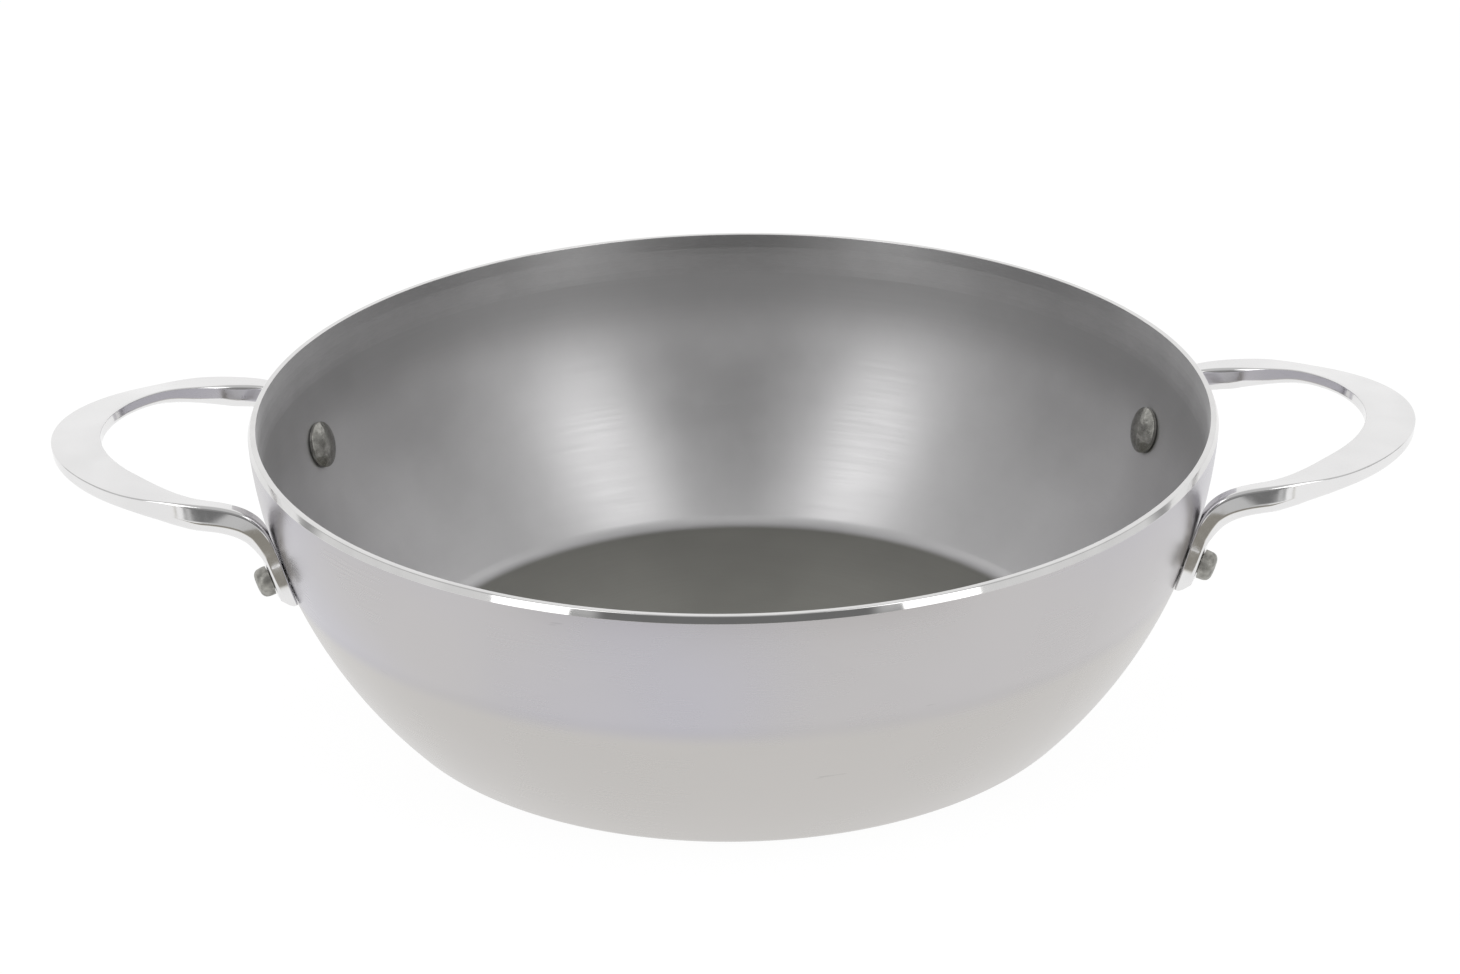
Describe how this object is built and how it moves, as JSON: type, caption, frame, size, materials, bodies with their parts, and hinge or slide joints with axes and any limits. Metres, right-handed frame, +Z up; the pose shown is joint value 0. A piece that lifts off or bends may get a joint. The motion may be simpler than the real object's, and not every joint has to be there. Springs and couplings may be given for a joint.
{
  "type": "two-handled saute pan",
  "caption": "Deep rounded saute pan of satin steel with a flat base, a curved wall, a ground rim and cast loop handles riveted to opposite sides.",
  "frame": {"origin": "middle of the flat underside, on the surface that the pan stands on", "axes": "+X through the middle of the right handle, +Y away from the viewer of the picture, +Z up out of the pan's mouth"},
  "size_m": [0.453, 0.3198, 0.1012],
  "materials": {
    "pan_steel": "satin steel sheet with a fine brushed grain and a polished rim edge",
    "handle_steel": "polished cast steel",
    "rivet_steel": "dull grey steel"
  },
  "bodies": {
    "root": {"bowl": "pan_steel", "handle_right": "handle_steel", "handle_left": "handle_steel", "rivet_right_front": "rivet_steel", "rivet_right_rear": "rivet_steel", "rivet_left_front": "rivet_steel", "rivet_left_rear": "rivet_steel"}
  },
  "joints": []
}
